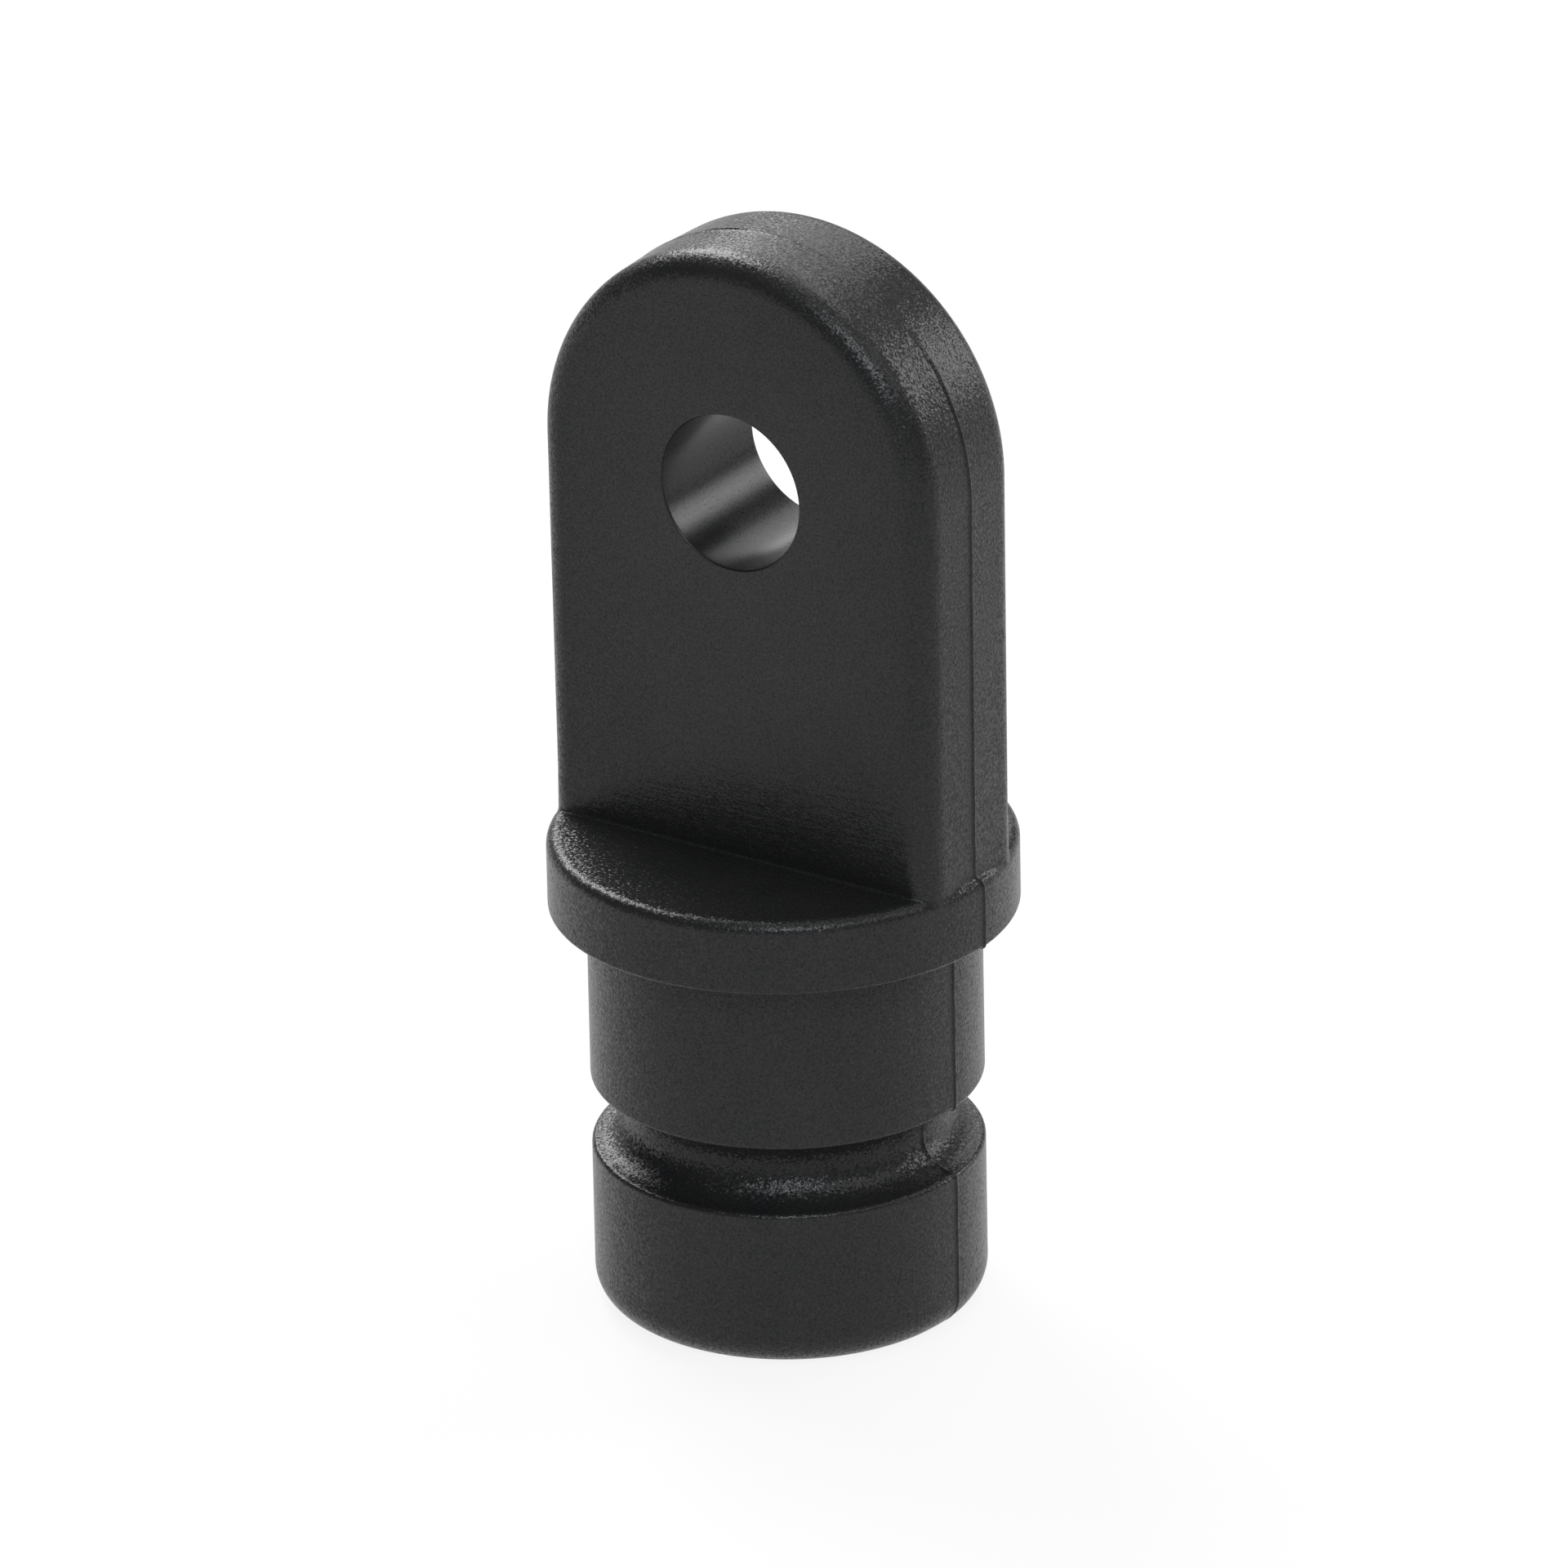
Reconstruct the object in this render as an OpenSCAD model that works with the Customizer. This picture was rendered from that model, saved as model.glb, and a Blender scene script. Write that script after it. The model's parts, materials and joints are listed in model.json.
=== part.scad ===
// Inside eye end for a 22.2 mm (7/8 in) boat-canopy tube: one solid nylon moulding.
//
// Millimetres, +Z up. The origin is the centre of the shank's lower end, on the shank's axis.
// The shank plugs into the tube, the collar stops against the tube's cut end, and the tongue
// carries the eye. The eye's bore runs along Y; the flat faces of the tongue look to -Y and +Y.

/* [Collar] */
// outside diameter, flush with the outside of the tube
collar_d = 22.2; // [16:0.1:32]
// thickness from the seat on the tube's end up to the root of the tongue
collar_h = 3.6; // [2:0.1:8]
// rounding of the upper edge
collar_top_round = 0.6; // [0.2:0.1:1.5]
// rounding of the lower edge, kept small so that the seat stays wide
collar_seat_round = 0.2; // [0.1:0.05:0.5]

/* [Shank] */
// diameter of the plug that goes inside the tube
shank_d = 18.6; // [12:0.1:28]
// length from the lower end up to the collar's seat
shank_h = 20.1; // [12:0.1:40]
// rounding of the lower end, which leads the plug into the tube
lead_in_round = 1.7; // [0.5:0.1:4]

/* [Retaining groove] */
// width between the groove's two walls, also the diameter of its round bottom
groove_w = 3.3; // [1.5:0.1:6]
// height of the groove's middle above the lower end
groove_z = 9.7; // [4:0.1:16]
// rounding of the two edges where the groove opens
groove_lip_round = 0.25; // [0.1:0.05:0.8]

/* [Tongue] */
// width across the tongue, also the outside diameter of the eye
tongue_w = 21.6; // [12:0.1:30]
// thickness between the two flat faces
tongue_t = 7.6; // [4:0.1:14]
// length of the straight part, from the collar up to the centre of the eye's round end
tongue_straight_h = 19.1; // [8:0.1:40]
// rounding of the long edges and of the edge around the eye
tongue_edge_round = 1.45; // [0.3:0.05:3]
// inside fillet between the flat faces and the collar
root_fillet = 0.3; // [0.2:0.1:1.5]

/* [Eye bore] */
// diameter of the plain through bore
bore_d = 7.6; // [4:0.1:14]
// distance of the bore's axis below the centre of the eye's round end
bore_drop = 0.8; // [0:0.1:5]

/* [Hidden] */
$fn = 96;
// the tongue reaches this far down into the collar, past the rounding of the collar's upper edge
tongue_sink = collar_top_round;
// how far a cutting shape reaches past the face it cuts
cut_over = 1;
collar_r = collar_d / 2;
shank_r = shank_d / 2;
groove_r = groove_w / 2;
bore_r = bore_d / 2;
tongue_half_w = tongue_w / 2;
tongue_half_t = tongue_t / 2;
collar_top_z = shank_h + collar_h;
eye_z = collar_top_z + tongue_straight_h;
bore_z = eye_z - bore_drop;
// the groove's half-round bottom meets its rounded lips with no straight wall between them
groove_floor_r = shank_r - groove_lip_round - groove_r;

// Half section of a round disc: outer edge at x = radius, from z_low to z_high on the y axis.
module disc_section(radius, z_low, z_high, round_low, round_high) {
    z_mid = (z_low + z_high) / 2;
    translate([0, z_low])
        square([radius - round_low, z_mid - z_low]);
    translate([0, z_mid])
        square([radius - round_high, z_high - z_mid]);
    translate([0, z_low + round_low])
        square([radius, z_high - z_low - round_low - round_high]);
    translate([radius - round_low, z_low + round_low])
        circle(r = round_low);
    translate([radius - round_high, z_high - round_high])
        circle(r = round_high);
}

// Half section of the shank between the two rounded lips of the groove.
module groove_section() {
    difference() {
        translate([0, groove_z - groove_r - groove_lip_round])
            square([groove_floor_r + groove_r, groove_w + 2 * groove_lip_round]);
        translate([groove_floor_r + groove_r, groove_z])
            circle(r = groove_r);
    }
}

// Plug with its lead-in and retaining groove, and the collar above it.
module shank_and_collar() {
    rotate_extrude() {
        disc_section(shank_r, 0, groove_z - groove_r, lead_in_round, groove_lip_round);
        groove_section();
        disc_section(shank_r, groove_z + groove_r, shank_h + collar_h / 2, groove_lip_round, groove_lip_round);
        disc_section(collar_r, shank_h, collar_top_z, collar_seat_round, collar_top_round);
    }
}

// Outline of the tongue seen from above, with its four long edges rounded.
module tongue_outline() {
    corner_x = tongue_half_w - tongue_edge_round;
    corner_y = tongue_half_t - tongue_edge_round;
    square([2 * corner_x, tongue_t], center = true);
    square([tongue_w, 2 * corner_y], center = true);
    for (side_x = [-1, 1], side_y = [-1, 1])
        translate([side_x * corner_x, side_y * corner_y])
            circle(r = tongue_edge_round);
}

// Straight part of the tongue and the half-round end about the eye's centre.
module tongue_blank() {
    translate([0, 0, collar_top_z - tongue_sink])
        linear_extrude(height = tongue_straight_h + tongue_sink)
            tongue_outline();
    translate([0, 0, eye_z])
        rotate([90, 0, 0])
            rotate_extrude(angle = 180)
                disc_section(tongue_half_w, -tongue_half_t, tongue_half_t, tongue_edge_round, tongue_edge_round);
}

// Concave strip that blends one flat face of the tongue into the collar; side is -1 or 1.
module root_blend(side) {
    strip_half_w = tongue_half_w - tongue_edge_round;
    translate([0, side * tongue_half_t, collar_top_z])
        difference() {
            translate([-strip_half_w, -root_fillet, -root_fillet])
                cube([2 * strip_half_w, 2 * root_fillet, 2 * root_fillet]);
            translate([-strip_half_w - cut_over, side * root_fillet, root_fillet])
                rotate([0, 90, 0])
                    cylinder(r = root_fillet, h = 2 * strip_half_w + 2 * cut_over);
        }
}

// Cutting shape for the plain through bore.
module bore_cut() {
    translate([0, 0, bore_z])
        rotate([90, 0, 0])
            cylinder(r = bore_r, h = tongue_t + 2 * cut_over, center = true);
}

module eye_end() {
    color("#1c1d1f")
        difference() {
            union() {
                shank_and_collar();
                tongue_blank();
                for (side = [-1, 1])
                    root_blend(side);
            }
            bore_cut();
        }
}

eye_end();
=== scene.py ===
"""Visual model of the inside eye end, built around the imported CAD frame.

The whole fitting is one nylon moulding, so it is one closed mesh: a turned plug and collar, a
tongue with rounded edges that grows out of the collar through a fillet, a smooth bore, and the
raised witness line that the mould's parting plane leaves along both sides.
Lengths are in millimetres while the mesh is worked out, and in metres once it is a Blender mesh.
"""

import json
import math

import bmesh
import bpy
import numpy as np
from mathutils import Matrix, Vector


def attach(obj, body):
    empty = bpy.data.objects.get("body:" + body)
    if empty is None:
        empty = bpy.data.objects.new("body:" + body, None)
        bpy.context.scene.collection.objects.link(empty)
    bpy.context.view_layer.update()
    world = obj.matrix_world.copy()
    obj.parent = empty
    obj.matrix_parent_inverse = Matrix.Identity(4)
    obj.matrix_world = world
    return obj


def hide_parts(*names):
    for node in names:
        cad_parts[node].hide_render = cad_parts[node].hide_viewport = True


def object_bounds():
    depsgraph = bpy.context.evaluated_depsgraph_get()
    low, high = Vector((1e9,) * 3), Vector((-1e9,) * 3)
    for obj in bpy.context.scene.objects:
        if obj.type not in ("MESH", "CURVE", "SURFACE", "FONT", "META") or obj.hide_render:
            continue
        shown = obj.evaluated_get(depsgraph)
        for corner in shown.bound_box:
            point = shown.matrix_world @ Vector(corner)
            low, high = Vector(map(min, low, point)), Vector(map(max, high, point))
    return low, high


MM = 0.001

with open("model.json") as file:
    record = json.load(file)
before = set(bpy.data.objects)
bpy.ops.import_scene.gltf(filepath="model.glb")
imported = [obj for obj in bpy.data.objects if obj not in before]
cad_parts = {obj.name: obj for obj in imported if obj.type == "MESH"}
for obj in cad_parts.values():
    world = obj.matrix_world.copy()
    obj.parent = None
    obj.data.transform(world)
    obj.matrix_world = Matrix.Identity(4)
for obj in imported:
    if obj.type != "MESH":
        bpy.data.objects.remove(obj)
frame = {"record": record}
cad_box = [list(corner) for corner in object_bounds()]

# ------------------------------------------------------------------ sizes taken from the frame
mounts = {mount["name"]: mount for mount in frame["record"]["mounts"]}
COLLAR_R = (cad_box[1][0] - cad_box[0][0]) / 2 / MM
TOP_Z = cad_box[1][2] / MM
PLUG_R = mounts["tube_plug"]["dims"]["r_mm"]
SEAT_Z = mounts["collar_seat"]["pos_m"][2] / MM
BORE_R = mounts["eye_bore"]["dims"]["r_mm"]
BORE_Z = mounts["eye_bore"]["pos_m"][2] / MM
TONGUE_HALF_T = mounts["eye_bore"]["dims"]["length_mm"] / 2

# ------------------------------------------------------------------ sizes of the moulded details
COLLAR_TOP_Z = SEAT_Z + 3.6
COLLAR_TOP_ROUND = 0.62
COLLAR_SEAT_ROUND = 0.2
SEAT_FILLET = 0.12
GROOVE_R = 1.65
GROOVE_Z = 9.7
GROOVE_LIP_ROUND = 0.25
LEAD_IN_ROUND = 1.7
TONGUE_HALF_W_TOP = 10.85
TONGUE_HALF_W_ROOT = 10.75
TONGUE_EDGE_ROUND = 1.33
ROOT_FILLET = 0.12
EYE_Z = TOP_Z - TONGUE_HALF_W_TOP
BORE_RIM_ROUND = 0.1

# parting line: a fine raised line, with a slight draft falling away from it on both sides
LINE_HEIGHT = 0.085
LINE_HALF_WIDTH = 0.075
SIDE_DRAFT = 0.03
BARREL_DRAFT = 0.035
BARREL_DRAFT_REACH = 1.2

# moulded grain: its height and fineness, and how far its facets lean: in the groove and on the
# collar's top, on the other rounded surfaces, and on the tongue's flat faces
GRAIN_HEIGHT = 0.02
GRAINS_PER_MM = 9
FACETS_PER_MM = 7
COARSE_FACET_LEAN = 0.95
FACET_LEAN = 0.62
FLAT_FACET_LEAN = 0.3
# height of the flow ripples above the collar, as a multiple of the grain's height
RIPPLE_HEIGHT = 0.9

# heights where the root takes over from the collar's wall, and the tongue's own surface from the root
WALL_MARGIN = 0.15
WALL_TOP_Z = COLLAR_TOP_Z - COLLAR_TOP_ROUND - WALL_MARGIN
JOIN_Z = COLLAR_TOP_Z + 1.5
# width of the flat strip that comes before each flat face is filled in
FLAT_MARGIN = 0.3


# ------------------------------------------------------------------ outlines
def arc(centre_x, centre_y, radius, start_deg, end_deg, steps):
    """Points along an arc, from start to end inclusive."""
    angles = np.radians(np.linspace(start_deg, end_deg, steps + 1))
    return np.stack([centre_x + radius * np.cos(angles), centre_y + radius * np.sin(angles)], axis=1)


def line(start, end, steps):
    """Points along a straight line, from start to end inclusive."""
    share = np.linspace(0, 1, steps + 1)[:, None]
    return np.array(start) * (1 - share) + np.array(end) * share


def chain(*runs):
    """Joins runs of points into one, dropping the point that two neighbours share."""
    points = [runs[0]]
    for run in runs[1:]:
        points.append(run[1:])
    return np.concatenate(points)


def half_width(z):
    """Half the tongue's width at a height: it tapers a little towards the collar."""
    share = np.clip((z - COLLAR_TOP_Z) / (EYE_Z - COLLAR_TOP_Z), 0, 1)
    return TONGUE_HALF_W_ROOT + (TONGUE_HALF_W_TOP - TONGUE_HALF_W_ROOT) * share


def side_positions():
    """Positions across the tongue's side wall, close together where the parting line runs."""
    wall_half = TONGUE_HALF_T - TONGUE_EDGE_ROUND
    near = np.array([0, 0.02, 0.04, 0.06, 0.08, 0.1, 0.125, 0.16, 0.22, 0.3])
    far = np.linspace(near[-1], wall_half, 10)[1:-1]
    half = np.concatenate([near, far])
    return np.concatenate([-half[:0:-1], half])


def tongue_band():
    """The rounded side of the tongue as (inset from the half width, y), from front to back.

    It starts and ends a little way in on the flat faces, so that those stay truly flat.
    """
    corner_y = TONGUE_HALF_T - TONGUE_EDGE_ROUND
    steps = 12
    front = arc(-TONGUE_EDGE_ROUND, -corner_y, TONGUE_EDGE_ROUND, -90, 0, steps)
    back = arc(-TONGUE_EDGE_ROUND, corner_y, TONGUE_EDGE_ROUND, 0, 90, steps)
    side = np.stack([np.zeros(len(side_positions())), side_positions()], axis=1)
    lead = np.array([[-TONGUE_EDGE_ROUND - FLAT_MARGIN, -TONGUE_HALF_T]])
    tail = np.array([[-TONGUE_EDGE_ROUND - FLAT_MARGIN, TONGUE_HALF_T]])
    return np.concatenate([lead, front, side, back, tail])


def flat_positions(limit):
    """Positions across a flat face between -limit and limit, evenly spread round the collar."""
    end = math.atan2(TONGUE_HALF_T, limit)
    angles = np.linspace(math.pi - end, end, 100)[1:-1]
    return TONGUE_HALF_T / np.tan(angles)


BAND = tongue_band()


def tongue_ring(z):
    """Cross-section of the tongue at a height, anticlockwise from the front of the +X side."""
    half = half_width(z)
    right = np.stack([half + BAND[:, 0], BAND[:, 1]], axis=1)
    left = np.stack([-right[::-1, 0], right[::-1, 1]], axis=1)
    across = flat_positions(right[0, 0])
    back = np.stack([across[::-1], np.full(len(across), TONGUE_HALF_T)], axis=1)
    front = np.stack([across, np.full(len(across), -TONGUE_HALF_T)], axis=1)
    return np.concatenate([right, back, left, front])


# ------------------------------------------------------------------ the collar's top and the root
def tongue_distance(x, y, z):
    """Distance from the tongue's straight part, negative inside."""
    over_x = np.abs(x) - (half_width(z) - TONGUE_EDGE_ROUND)
    over_y = np.abs(y) - (TONGUE_HALF_T - TONGUE_EDGE_ROUND)
    outside = np.hypot(np.maximum(over_x, 0), np.maximum(over_y, 0))
    return outside + np.minimum(np.maximum(over_x, over_y), 0) - TONGUE_EDGE_ROUND


def collar_distance(radius, z):
    """Distance from the collar's wall, rounded edge and top, negative inside."""
    over_r = radius - (COLLAR_R - COLLAR_TOP_ROUND)
    over_z = z - (COLLAR_TOP_Z - COLLAR_TOP_ROUND)
    outside = np.hypot(np.maximum(over_r, 0), np.maximum(over_z, 0))
    return outside + np.minimum(np.maximum(over_r, over_z), 0) - COLLAR_TOP_ROUND


def root_distance(radius, z, directions):
    """Distance from collar and tongue together, with the root fillet between them.

    The fillet dies away down the collar's rounded edge, so that it doesn't swell the collar's wall.
    """
    tongue = tongue_distance(radius * directions[:, 0], radius * directions[:, 1], z)
    collar = collar_distance(radius, z)
    fillet = ROOT_FILLET * np.clip((z - WALL_TOP_Z) / COLLAR_TOP_ROUND, 0, 1)
    into_tongue = np.maximum(fillet - tongue, 0)
    into_collar = np.maximum(fillet - collar, 0)
    return np.maximum(fillet, np.minimum(tongue, collar)) - np.hypot(into_tongue, into_collar)


def root_gradient(radius, z, directions):
    """Slope of root_distance in each half-plane through the axis."""
    nudge = 1e-4
    rise_r = root_distance(radius + nudge, z, directions) - root_distance(radius - nudge, z, directions)
    rise_z = root_distance(radius, z + nudge, directions) - root_distance(radius, z - nudge, directions)
    return rise_r / (2 * nudge), rise_z / (2 * nudge)


def root_curves(directions, count):
    """Follows the surface up from the collar's wall, over the ledge, and on to the tongue's wall.

    One curve for each direction from the axis, resampled to count points that crowd into the bends.
    """
    stride = 0.01
    radius = np.full(len(directions), COLLAR_R)
    z = np.full(len(directions), WALL_TOP_Z)
    track = [np.stack([radius, z], axis=1)]
    while z.min() < JOIN_Z:
        slope_r, slope_z = root_gradient(radius, z, directions)
        length = np.hypot(slope_r, slope_z)
        radius = radius - slope_z / length * stride
        z = z + slope_r / length * stride
        slope_r, slope_z = root_gradient(radius, z, directions)
        miss = root_distance(radius, z, directions) / (slope_r ** 2 + slope_z ** 2)
        radius = radius - miss * slope_r
        z = z - miss * slope_z
        track.append(np.stack([radius, z], axis=1))
    paths = [cut_at_join(points) for points in np.array(track).transpose(1, 0, 2)]
    shares = np.array([crowded_shares(points, count) for points in paths])
    # neighbouring curves share out their points alike, so that the rows of the mesh run smoothly
    reach = 3
    shifts = range(-reach, reach + 1)
    shares = sum(np.roll(shares, shift, axis=0) for shift in shifts) / len(shifts)
    return np.array([points_at(points, share) for points, share in zip(paths, shares)])


def cut_at_join(points):
    """The part of a path below JOIN_Z, with its last point at that height."""
    last = int(np.argmax(points[:, 1] >= JOIN_Z))
    path = points[:last + 1].copy()
    path[-1, 1] = JOIN_Z
    return path


def distances_along(points):
    """How far along a path each of its points lies."""
    moves = np.diff(points, axis=0)
    return np.concatenate([[0], np.cumsum(np.hypot(moves[:, 0], moves[:, 1]))])


def crowded_shares(points, count):
    """Shares of a path's length, from 0 to 1, that lie closer together where it bends."""
    along = distances_along(points)
    moves = np.diff(points, axis=0)
    headings = np.unwrap(np.arctan2(moves[:, 1], moves[:, 0]))
    turning = np.abs(np.gradient(headings))
    lengths = np.diff(along)
    crowding = 0.9
    evenness = 0.2
    window = 9
    blurred = np.convolve(lengths + crowding * turning, np.ones(window) / window, mode="same")
    weights = blurred + evenness * lengths
    travelled = np.concatenate([[0], np.cumsum(weights)])
    wanted = np.linspace(0, travelled[-1], count)
    return np.interp(wanted, travelled, along) / along[-1]


def points_at(points, shares):
    """Points on a path at shares of its length."""
    along = distances_along(points)
    wanted = shares * along[-1]
    return np.stack([np.interp(wanted, along, points[:, axis]) for axis in (0, 1)], axis=1)


# ------------------------------------------------------------------ plug and collar wall
def barrel_profile():
    """Half section from the middle of the lower end, round the plug, to the collar's upper wall."""
    floor_r = PLUG_R - GROOVE_LIP_ROUND - GROOVE_R
    low_lip_z = GROOVE_Z - GROOVE_R - GROOVE_LIP_ROUND
    high_lip_z = GROOVE_Z + GROOVE_R + GROOVE_LIP_ROUND
    lip_r = PLUG_R - GROOVE_LIP_ROUND
    lead_r = PLUG_R - LEAD_IN_ROUND
    seat_r = COLLAR_R - COLLAR_SEAT_ROUND
    first_ring_r = 0.4
    return chain(
        line([first_ring_r, 0], [lead_r, 0], 14),
        arc(lead_r, LEAD_IN_ROUND, LEAD_IN_ROUND, -90, 0, 20),
        line([PLUG_R, LEAD_IN_ROUND], [PLUG_R, low_lip_z], 14),
        arc(lip_r, low_lip_z, GROOVE_LIP_ROUND, 0, 90, 6),
        arc(floor_r + GROOVE_R, GROOVE_Z, GROOVE_R, 270, 90, 34),
        arc(lip_r, high_lip_z, GROOVE_LIP_ROUND, 270, 360, 6),
        line([PLUG_R, high_lip_z], [PLUG_R, SEAT_Z - SEAT_FILLET], 20),
        arc(PLUG_R + SEAT_FILLET, SEAT_Z - SEAT_FILLET, SEAT_FILLET, 180, 90, 4),
        line([PLUG_R + SEAT_FILLET, SEAT_Z], [seat_r, SEAT_Z], 5),
        arc(seat_r, SEAT_Z + COLLAR_SEAT_ROUND, COLLAR_SEAT_ROUND, -90, 0, 5),
        line([COLLAR_R, SEAT_Z + COLLAR_SEAT_ROUND], [COLLAR_R, WALL_TOP_Z], 8),
    )


def parting_ridge(y):
    """Height of the raised parting line at a distance y from the parting plane."""
    return LINE_HEIGHT * np.exp(-(y / LINE_HALF_WIDTH) ** 2)


def barrel_draft(y):
    """How far the barrel falls away from a true circle at a distance y from the parting plane."""
    away = np.abs(y)
    return BARREL_DRAFT * away / (1 + away / BARREL_DRAFT_REACH)


def tongue_draft(y):
    """How far the tongue's side wall falls away from its full width at a distance y."""
    wall_half = TONGUE_HALF_T - TONGUE_EDGE_ROUND
    return SIDE_DRAFT * np.minimum(np.abs(y), wall_half)


def side_mask(directions):
    """1 on the two narrow sides of the tongue and 0 on its flat faces."""
    corner = math.atan2(TONGUE_HALF_T, TONGUE_HALF_W_ROOT - TONGUE_EDGE_ROUND)
    fade = 0.25 * corner
    away = np.arctan2(np.abs(directions[:, 1]), np.abs(directions[:, 0]))
    return np.clip((corner - away) / fade, 0, 1)


class MeshParts:
    """Collects vertices and faces row by row."""

    def __init__(self):
        self.points = []
        self.faces = []
        self.count = 0

    def add(self, points):
        """Stores points and returns the numbers of their vertices."""
        self.points.append(np.asarray(points, float))
        numbers = np.arange(self.count, self.count + len(points))
        self.count += len(points)
        return numbers

    def fan(self, centre, ring):
        """Joins a ring of vertices to one in its middle with triangles, facing down."""
        for start, end in zip(ring, np.roll(ring, -1)):
            self.faces.append((centre, end, start))

    def skin(self, rows, closed):
        """Joins each row of vertices to the next with quads, facing out when the rows climb."""
        for lower, upper in zip(rows[:-1], rows[1:]):
            following_lower = np.roll(lower, -1)
            following_upper = np.roll(upper, -1)
            last = len(lower) if closed else len(lower) - 1
            for i in range(last):
                self.faces.append((lower[i], following_lower[i], following_upper[i], upper[i]))


def build_barrel(parts, directions):
    """Lower end, plug and the collar's wall. Returns the row of vertices at WALL_TOP_Z."""
    profile = barrel_profile()
    slopes = np.gradient(profile, axis=0)
    outward = np.stack([slopes[:, 1], -slopes[:, 0]], axis=1)
    outward /= np.linalg.norm(outward, axis=1)[:, None]
    centre = parts.add([[0, 0, 0]])[0]
    rows = []
    for (radius, z), (out_r, out_z) in zip(profile, outward):
        y = radius * directions[:, 1]
        fade = np.clip(z / LEAD_IN_ROUND, 0, 1)
        rise = fade * (parting_ridge(y) - np.clip(out_r, 0, 1) * barrel_draft(y))
        ring_r = radius + rise * out_r
        ring_z = np.full(len(directions), z) + rise * out_z
        x = ring_r * directions[:, 0]
        y = ring_r * directions[:, 1]
        rows.append(parts.add(np.stack([x, y, ring_z], axis=1)))
    parts.fan(centre, rows[0])
    parts.skin(rows, closed=True)
    return rows[-1]


def build_root(parts, directions, wall_row):
    """The collar's rounded edge, the ledge and the tongue's root. Returns the row at JOIN_Z."""
    on_tongue_side = side_mask(directions)
    count = 46
    curves = root_curves(directions, count)
    rows = [wall_row]
    for number in range(1, count):
        radius = curves[:, number, 0]
        z = curves[:, number, 1]
        y = radius * directions[:, 1]
        # 0 at the collar's wall and 1 at the tongue's, where the rise points sideways, not outwards
        share = (number / (count - 1)) ** 2
        draft = (1 - share) * barrel_draft(y) + share * tongue_draft(y)
        rise = (parting_ridge(y) - draft) * on_tongue_side
        on_edge = np.clip((COLLAR_TOP_Z - z) / COLLAR_TOP_ROUND, 0, 1)
        inward = barrel_draft(y) * on_edge * (1 - on_tongue_side)
        ring_r = radius + (1 - share) * rise - inward
        x = ring_r * directions[:, 0] + np.sign(directions[:, 0]) * share * rise
        rows.append(parts.add(np.stack([x, ring_r * directions[:, 1], z], axis=1)))
    parts.skin(rows, closed=True)
    return rows[-1]


def line_strength(turn):
    """How clearly the parting line stands at an angle round the eye, from 0 at +X to pi at -X.

    It is clear on both sides and in one short dash on top, and faint in between.
    """
    faint = 0.22
    right_end = 0.95
    left_start = 2.85
    softness = 0.05
    dash_middle = 1.785
    dash_half_length = 0.12
    right = 1 / (1 + math.exp((turn - right_end) / softness))
    left = 1 / (1 + math.exp((left_start - turn) / softness))
    dash = math.exp(-((turn - dash_middle) / dash_half_length) ** 4)
    return faint + (1 - faint) * min(1, right + left + dash)


def build_tongue_sides(parts, join_row):
    """The rounded rim of the tongue: up the +X side, round the eye and down the -X side."""
    band_count = len(BAND)
    flat_count = (len(join_row) - 2 * band_count) // 2
    right_start = join_row[:band_count]
    left_start = band_count + flat_count
    left_end = join_row[left_start:left_start + band_count][::-1]
    heights = np.linspace(JOIN_Z, EYE_Z, 40)
    turns = np.linspace(0, math.pi, 150)
    rows = [right_start]
    inset = BAND[:, 0] - tongue_draft(BAND[:, 1])
    ridge = parting_ridge(BAND[:, 1])
    for z in heights[1:]:
        x = half_width(z) + inset + ridge
        rows.append(parts.add(np.stack([x, BAND[:, 1], np.full(band_count, z)], axis=1)))
    for turn in turns[1:-1]:
        reach = TONGUE_HALF_W_TOP + inset + ridge * line_strength(turn)
        x = reach * math.cos(turn)
        z = EYE_Z + reach * math.sin(turn)
        rows.append(parts.add(np.stack([x, BAND[:, 1], z], axis=1)))
    for z in heights[:0:-1]:
        x = -(half_width(z) + inset + ridge)
        rows.append(parts.add(np.stack([x, BAND[:, 1], np.full(band_count, z)], axis=1)))
    rows.append(left_end)
    parts.skin(rows, closed=False)


def build_bore(parts):
    """The wall of the bore with its slightly broken rims, and a flat margin round each mouth.

    Returns the numbers of all its vertices.
    """
    count = 144
    rim_y = TONGUE_HALF_T - BORE_RIM_ROUND
    rim_r = BORE_R + BORE_RIM_ROUND
    section = chain(
        line([rim_r + FLAT_MARGIN, -TONGUE_HALF_T], [rim_r, -TONGUE_HALF_T], 1),
        arc(rim_r, -rim_y, BORE_RIM_ROUND, 270, 180, 4),
        line([BORE_R, -rim_y], [BORE_R, rim_y], 16),
        arc(rim_r, rim_y, BORE_RIM_ROUND, 180, 90, 4),
        line([rim_r, TONGUE_HALF_T], [rim_r + FLAT_MARGIN, TONGUE_HALF_T], 1),
    )
    angles = np.linspace(0, 2 * math.pi, count, endpoint=False)
    rows = []
    for radius, y in section:
        x = radius * np.cos(angles)
        z = BORE_Z + radius * np.sin(angles)
        rows.append(parts.add(np.stack([x, np.full(count, y), z], axis=1)))
    parts.skin(rows, closed=True)
    return np.concatenate(rows)


def vertex_normals(mesh):
    """Vertex normals weighted by face area, so that flat faces stay flat beside tight bends."""
    normals = np.zeros((len(mesh.vertices), 3))
    for polygon in mesh.polygons:
        normals[list(polygon.vertices)] += np.array(polygon.normal) * polygon.area
    lengths = np.linalg.norm(normals, axis=1)[:, None]
    return normals / lengths


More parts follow.
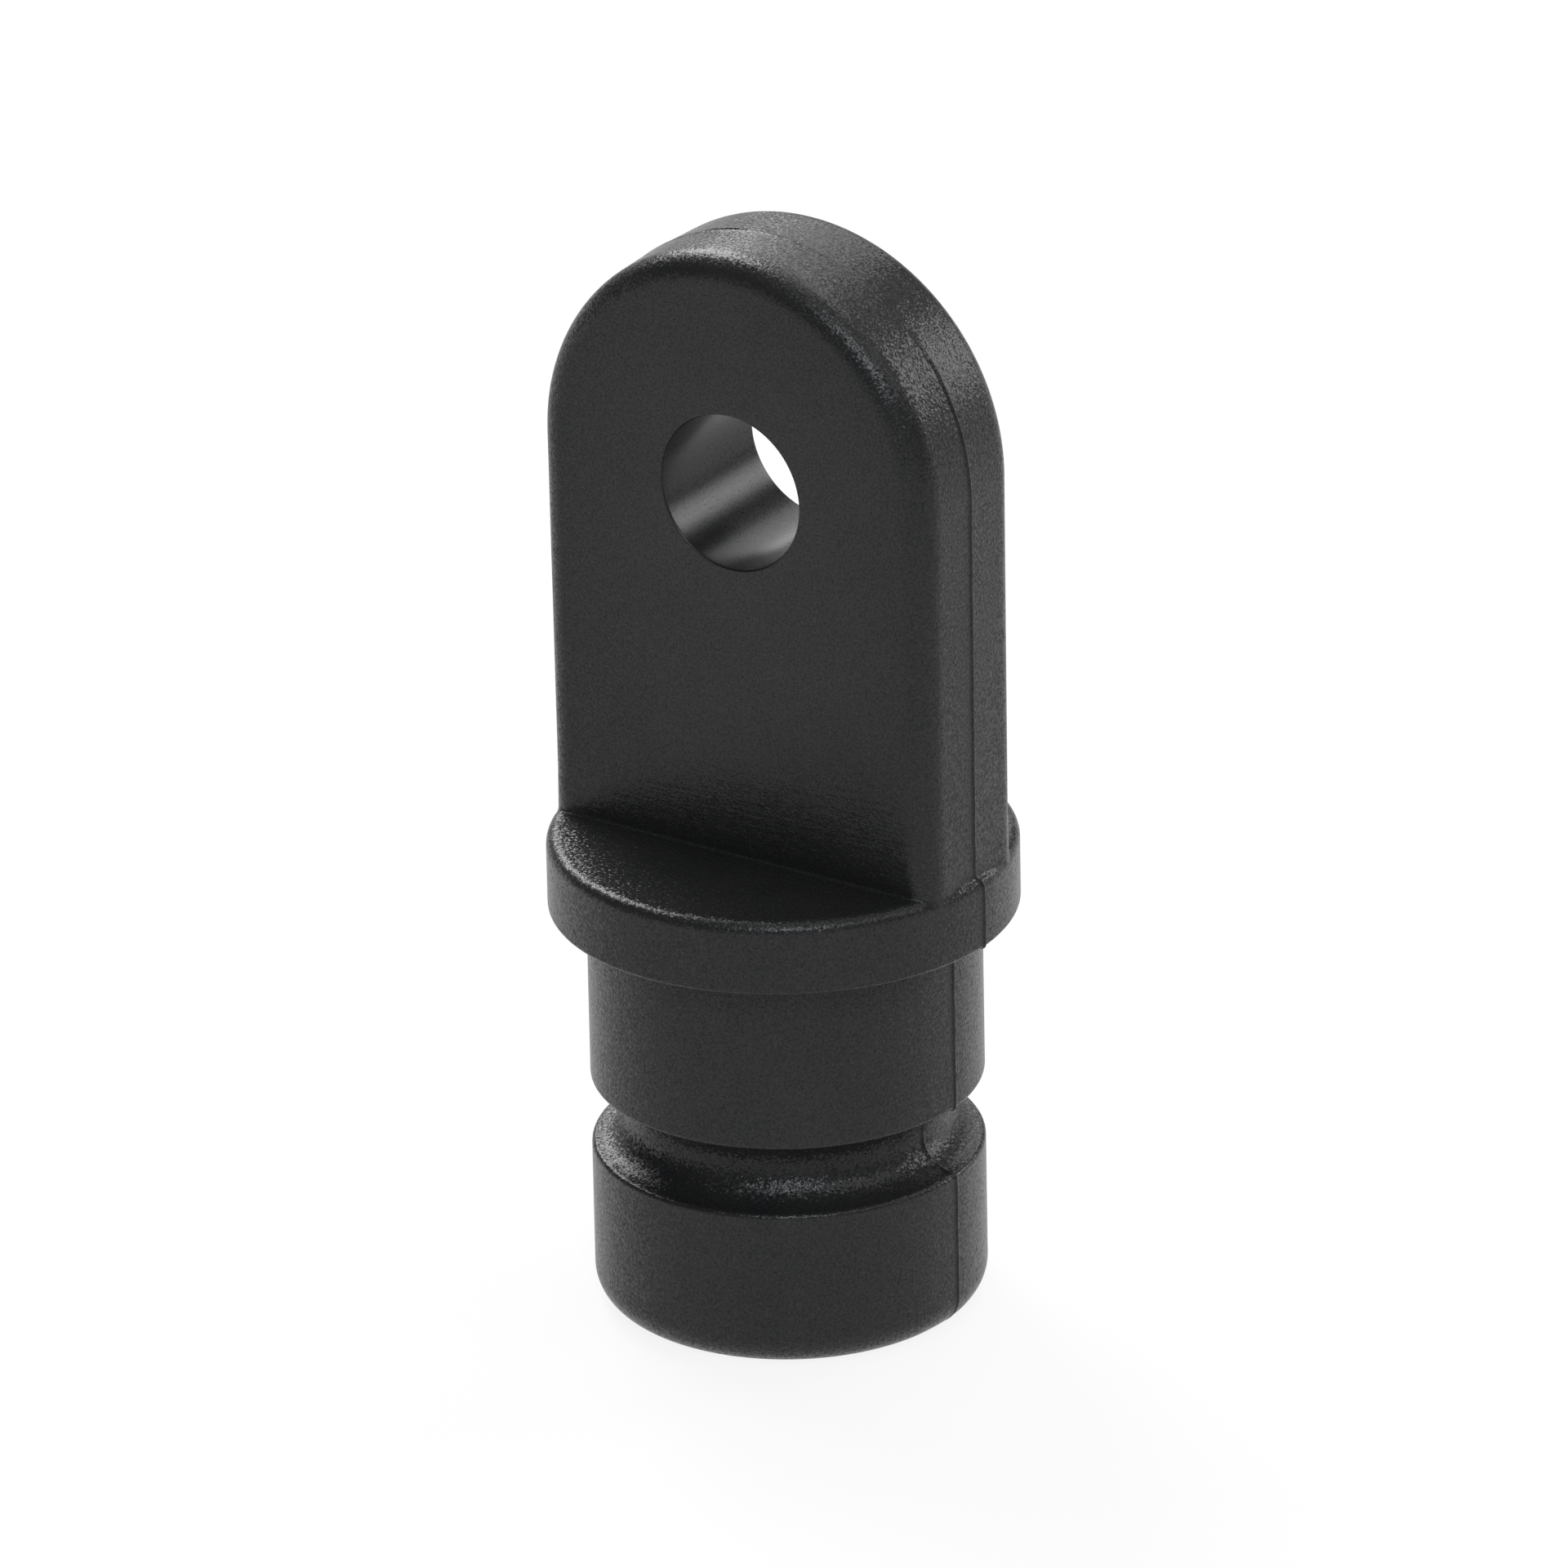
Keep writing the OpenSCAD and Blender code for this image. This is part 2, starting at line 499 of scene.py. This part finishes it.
def seam_wander(z):
    """How far the parting line strays from a straight line at each height."""
    long_wave = 0.012 * np.sin(2.1 * z)
    short_wave = 0.008 * np.sin(5.3 * z + 1)
    return long_wave + short_wave


def bend_parting_line(points):
    """Shifts the middle of both sides along Y, so that the parting line isn't ruled.

    The line lies on the -Y side of the middle plane on the tongue, and on the +Y side below it.
    """
    step_z = COLLAR_TOP_Z - 0.1
    step_softness = 0.08
    offset = 0.13
    reach = 2.2
    full_shift_within = 0.5
    rim_from = 5.5
    x, y, z = points.T
    below_step = 1 / (1 + np.exp((z - step_z) / step_softness))
    shift = offset * (2 * below_step - 1) + seam_wander(z)
    fade = np.clip((reach - np.abs(y)) / (reach - full_shift_within), 0, 1)
    fade = fade * fade * (3 - 2 * fade)
    on_rim = np.hypot(x, np.maximum(z - EYE_Z, 0)) > rim_from
    return np.stack([x, y + shift * fade * on_rim, z], axis=1)


def fill_flat_faces(mesh):
    """Closes the two flat faces of the tongue, between its rounded edges and the bore."""
    work = bmesh.new()
    work.from_mesh(mesh)
    rounding_error = 1e-7
    for side in (-1, 1):
        face_y = side * TONGUE_HALF_T * MM
        open_edges = [
            edge for edge in work.edges
            if edge.is_boundary and all(abs(v.co.y - face_y) < rounding_error for v in edge.verts)
        ]
        bmesh.ops.triangle_fill(work, edges=open_edges, use_beauty=True, normal=Vector((0, side, 0)))
    bmesh.ops.recalc_face_normals(work, faces=work.faces)
    work.to_mesh(mesh)
    work.free()


def build_moulding():
    """The fitting as one closed mesh object, in metres."""
    parts = MeshParts()
    top_ring = tongue_ring(JOIN_Z)
    directions = top_ring / np.linalg.norm(top_ring, axis=1)[:, None]
    wall_row = build_barrel(parts, directions)
    join_row = build_root(parts, directions, wall_row)
    build_tongue_sides(parts, join_row)
    bore_vertices = build_bore(parts)
    points = bend_parting_line(np.concatenate(parts.points))
    mesh = bpy.data.meshes.new("eye_end_moulding")
    mesh.from_pydata((points * MM).tolist(), [], [tuple(int(i) for i in face) for face in parts.faces])
    in_bore = np.zeros(len(mesh.vertices), np.float32)
    in_bore[bore_vertices] = 1
    mesh.attributes.new("bore_wall", "FLOAT", "POINT").data.foreach_set("value", in_bore)
    fill_flat_faces(mesh)
    mesh.shade_smooth()
    mesh.normals_split_custom_set_from_vertices(vertex_normals(mesh).tolist())
    mould = bpy.data.objects.new("eye_end_moulding", mesh)
    bpy.context.scene.collection.objects.link(mould)
    return mould


# ------------------------------------------------------------------ material
class Shading:
    """Short ways to add and join the nodes of one material, or of the world."""

    def __init__(self, owner):
        owner.use_nodes = True
        self.nodes = owner.node_tree.nodes
        self.links = owner.node_tree.links

    def put(self, socket, value):
        """Sets a socket to a plain value, or joins it to another node's output."""
        if isinstance(value, bpy.types.NodeSocket):
            self.links.new(value, socket)
        else:
            socket.default_value = value

    def maths(self, operation, *values):
        """One step of arithmetic on numbers."""
        node = self.nodes.new("ShaderNodeMath")
        node.operation = operation
        for socket, value in zip(node.inputs, values):
            self.put(socket, value)
        return node.outputs[0]

    def vector_maths(self, operation, first, second):
        """One step of arithmetic on vectors; the second value of SCALE is a number."""
        node = self.nodes.new("ShaderNodeVectorMath")
        node.operation = operation
        self.put(node.inputs[0], first)
        self.put(node.inputs["Scale"] if operation == "SCALE" else node.inputs[1], second)
        return node.outputs[0]

    def unit(self, vector):
        """The same direction with a length of 1."""
        node = self.nodes.new("ShaderNodeVectorMath")
        node.operation = "NORMALIZE"
        self.put(node.inputs[0], vector)
        return node.outputs[0]

    def axis(self, vector, name):
        """The X, Y or Z part of a vector."""
        node = self.nodes.new("ShaderNodeSeparateXYZ")
        self.put(node.inputs["Vector"], vector)
        return node.outputs[name]

    def remap(self, value, from_low, from_high, to_low, to_high):
        """Moves a value from one range to another, and holds it inside the new one."""
        node = self.nodes.new("ShaderNodeMapRange")
        self.put(node.inputs["Value"], value)
        self.put(node.inputs["From Min"], from_low)
        self.put(node.inputs["From Max"], from_high)
        self.put(node.inputs["To Min"], to_low)
        self.put(node.inputs["To Max"], to_high)
        return node.outputs["Result"]

    def noise(self, place, scale, detail, output="Fac"):
        """Smooth random noise that repeats about scale times in a unit of place."""
        node = self.nodes.new("ShaderNodeTexNoise")
        self.put(node.inputs["Vector"], place)
        self.put(node.inputs["Scale"], scale)
        self.put(node.inputs["Detail"], detail)
        return node.outputs[output]

    def near(self, value, middle, reach, fade):
        """1 where a value lies within reach of a middle, falling to 0 over a further fade."""
        away = self.maths("ABSOLUTE", self.maths("SUBTRACT", value, middle))
        return self.remap(away, reach, reach + fade, 1, 0)

    def uneven(self, noise, low, high):
        """Spreads the middle part of a noise, where most of it lies, between two values."""
        return self.remap(noise, 0.3, 0.7, low, high)


def flow_ripples(shading, place):
    """Height of the faint ripples that run across the tongue just above its root."""
    waves_per_mm = (0.5, 0.5, 4.5)
    starts_at = COLLAR_TOP_Z + 0.1
    full_at = COLLAR_TOP_Z + 0.6
    fades_from = COLLAR_TOP_Z + 3
    gone_at = COLLAR_TOP_Z + 9
    ripples = shading.noise(shading.vector_maths("MULTIPLY", place, waves_per_mm), 1, 2)
    z = shading.axis(place, "Z")
    above_root = shading.remap(z, starts_at, full_at, 0, RIPPLE_HEIGHT)
    below_eye = shading.remap(z, fades_from, gone_at, 1, 0)
    return shading.maths("MULTIPLY", shading.maths("MULTIPLY", above_root, below_eye), ripples)


def leaning_facets(shading, place, surface_normal, grained):
    """How far the grain's tiny facets lean, each in its own direction, so that they sparkle.

    The lean is less on the tongue's flat faces, and more in the groove and on the collar's top.
    """
    fade = 0.12
    fade_from_tongue = 0.8
    ledge_half_height = 0.01
    curved_below = 0.97
    flat_above = 0.998
    z = shading.axis(place, "Z")
    in_groove = shading.near(z, GROOVE_Z, GROOVE_R, fade)
    on_collar_top = shading.near(z, COLLAR_TOP_Z, ledge_half_height, fade)
    within_tongue = shading.near(shading.axis(place, "Y"), 0, TONGUE_HALF_T, fade_from_tongue)
    on_ledge = shading.maths("MULTIPLY", on_collar_top, shading.maths("SUBTRACT", 1, within_tongue))
    coarse = shading.maths("MAXIMUM", in_groove, on_ledge)
    lean = shading.remap(coarse, 0, 1, FACET_LEAN, COARSE_FACET_LEAN)
    facing = shading.maths("ABSOLUTE", shading.axis(surface_normal, "Y"))
    lean = shading.remap(facing, curved_below, flat_above, lean, FLAT_FACET_LEAN)
    middle_grey = (0.5, 0.5, 0.5)
    colours = shading.noise(place, FACETS_PER_MM, 1, "Color")
    direction = shading.vector_maths("SUBTRACT", colours, middle_grey)
    return shading.vector_maths("SCALE", direction, shading.maths("MULTIPLY", lean, grained))


def nylon_material():
    """Near-black satin nylon with the fine grain of a spark-eroded mould, smooth in the bore."""
    material = bpy.data.materials.new("black_nylon")
    shading = Shading(material)
    nodes = shading.nodes
    surface = nodes["Principled BSDF"].inputs
    coordinates = nodes.new("ShaderNodeTexCoord")
    place = shading.vector_maths("SCALE", coordinates.outputs["Object"], 1 / MM)
    grain = shading.noise(place, GRAINS_PER_MM, 1)

    bore_wall = nodes.new("ShaderNodeAttribute")
    bore_wall.attribute_name = "bore_wall"
    grained = shading.maths("SUBTRACT", 1, bore_wall.outputs["Fac"])

    tint = nodes.new("ShaderNodeValToRGB")
    cooler, warmer = tint.color_ramp.elements
    cooler.position = 0.3
    cooler.color = (0.0125, 0.0127, 0.0133, 1)
    warmer.position = 0.7
    warmer.color = (0.0155, 0.0153, 0.0149, 1)
    shading.put(tint.inputs["Fac"], shading.noise(place, 0.35, 3))
    shading.put(surface["Base Color"], tint.outputs["Color"])
    shading.put(surface["Roughness"], shading.uneven(grain, 0.27, 0.33))
    gloss = shading.uneven(shading.noise(place, GRAINS_PER_MM, 2), 0.13, 0.35)
    extra_gloss_in_bore = 0.04
    level = shading.maths("MULTIPLY_ADD", bore_wall.outputs["Fac"], extra_gloss_in_bore, gloss)
    shading.put(surface["Specular IOR Level"], level)

    bump = nodes.new("ShaderNodeBump")
    bump.inputs["Distance"].default_value = GRAIN_HEIGHT * MM
    shading.put(bump.inputs["Strength"], grained)
    shading.put(bump.inputs["Height"], shading.maths("ADD", grain, flow_ripples(shading, place)))
    facets = leaning_facets(shading, place, coordinates.outputs["Normal"], grained)
    leaning = shading.vector_maths("ADD", bump.outputs["Normal"], facets)
    shading.put(surface["Normal"], shading.unit(leaning))
    return material


# ------------------------------------------------------------------ stage
def add_floor():
    """A plain pale floor that glows a little, like the lit table of a product studio."""
    hair_below_foot = -0.05 * MM
    width = 3
    bpy.ops.mesh.primitive_plane_add(size=width, location=(0, 0, hair_below_foot))
    floor = bpy.context.object
    floor.name = "floor"
    material = bpy.data.materials.new("pale_floor")
    material.use_nodes = True
    surface = material.node_tree.nodes["Principled BSDF"].inputs
    surface["Base Color"].default_value = (0.08, 0.08, 0.08, 1)
    surface["Roughness"].default_value = 0.9
    surface["Specular IOR Level"].default_value = 0
    surface["Emission Color"].default_value = (1, 1, 1, 1)
    surface["Emission Strength"].default_value = 0.88
    floor.data.materials.append(material)


def add_softbox(name, azimuth, elevation, width, height, brightness, tint=(1, 1, 1)):
    """A soft rectangular light, in metres, aimed at the middle of the fitting.

    Azimuth 0 is -Y and 90 is +X. Its brightness doesn't depend on its size.
    """
    aim = Vector((0, 0, 0.03))
    distance = 1.1
    across = math.radians(azimuth)
    above = math.radians(elevation)
    towards = Vector((
        math.sin(across) * math.cos(above), -math.cos(across) * math.cos(above), math.sin(above)))
    data = bpy.data.lights.new(name, "AREA")
    data.shape = "RECTANGLE"
    data.size = width
    data.size_y = height
    data.energy = math.pi * width * height * brightness
    data.color = tint
    light = bpy.data.objects.new(name, data)
    light.location = aim + towards * distance
    light.rotation_euler = (-towards).to_track_quat("-Z", "Y").to_euler()
    light.visible_camera = False
    bpy.context.scene.collection.objects.link(light)


def add_studio_lights():
    """Soft light from behind, strongest on the left, a small bright key in front, and dim fill."""
    add_softbox("back_left", 235, 37, 0.4, 0.42, 10)
    add_softbox("back_left_low", 225, 24, 0.34, 0.28, 5)
    add_softbox("back_left_high", 246, 56, 0.5, 0.36, 11.5)
    add_softbox("back_left_side", 253, 32, 0.28, 0.3, 4)
    add_softbox("back", 202, 31, 0.5, 0.5, 2.6)
    add_softbox("back_high", 168, 60, 0.6, 0.36, 5)
    add_softbox("back_right", 150, 19, 0.4, 0.4, 7.4)
    add_softbox("overhead", 0, 90, 0.45, 0.45, 2.2)
    add_softbox("right", 100, 42, 0.5, 0.4, 2.8)
    add_softbox("front_right", 68, 50, 0.4, 0.36, 2)
    add_softbox("front_key", 38, 40, 0.15, 0.38, 27, (0.94, 1, 1.05))
    add_softbox("front", 10, 50, 0.3, 0.3, 3)


def add_world():
    """A surround that is pale round the horizon and darkens quickly above it."""
    pale = 0.3
    dim = 0.015
    pale_up_to = math.radians(7)
    dim_from = math.radians(16)
    world = bpy.data.worlds.new("surround")
    bpy.context.scene.world = world
    shading = Shading(world)
    background = shading.nodes["Background"].inputs
    direction = shading.nodes.new("ShaderNodeTexCoord").outputs["Generated"]
    height = shading.axis(direction, "Z")
    background["Color"].default_value = (1, 1, 1, 1)
    shading.put(
        background["Strength"],
        shading.remap(height, math.sin(pale_up_to), math.sin(dim_from), pale, dim))


def add_camera():
    """The camera with its long lens, where the photograph was taken from. Its place is in metres."""
    data = bpy.data.cameras.new("camera")
    data.sensor_width = 36
    data.lens = 373.3
    data.clip_start = 0.01
    data.clip_end = 10
    camera = bpy.data.objects.new("camera", data)
    turn = math.radians(34.16)
    tilt = math.radians(23.853)
    roll = math.radians(1.178)
    place = Vector((0.38919, -0.57336, 0.33232))
    look = Vector((-math.sin(turn) * math.cos(tilt), math.cos(turn) * math.cos(tilt), -math.sin(tilt)))
    right = Vector((math.cos(turn), math.sin(turn), 0))
    up = right.cross(look)
    rolled_right = right * math.cos(roll) - up * math.sin(roll)
    rolled_up = right * math.sin(roll) + up * math.cos(roll)
    camera.matrix_world = Matrix((
        (rolled_right.x, rolled_up.x, -look.x, place.x),
        (rolled_right.y, rolled_up.y, -look.y, place.y),
        (rolled_right.z, rolled_up.z, -look.z, place.z),
        (0, 0, 0, 1),
    ))
    bpy.context.scene.collection.objects.link(camera)
    bpy.context.scene.camera = camera


moulding = build_moulding()
moulding.data.materials.append(nylon_material())
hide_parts("eye_end")
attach(moulding, "root")

add_floor()
add_world()
add_studio_lights()
add_camera()
bpy.context.scene.view_settings.view_transform = "Standard"
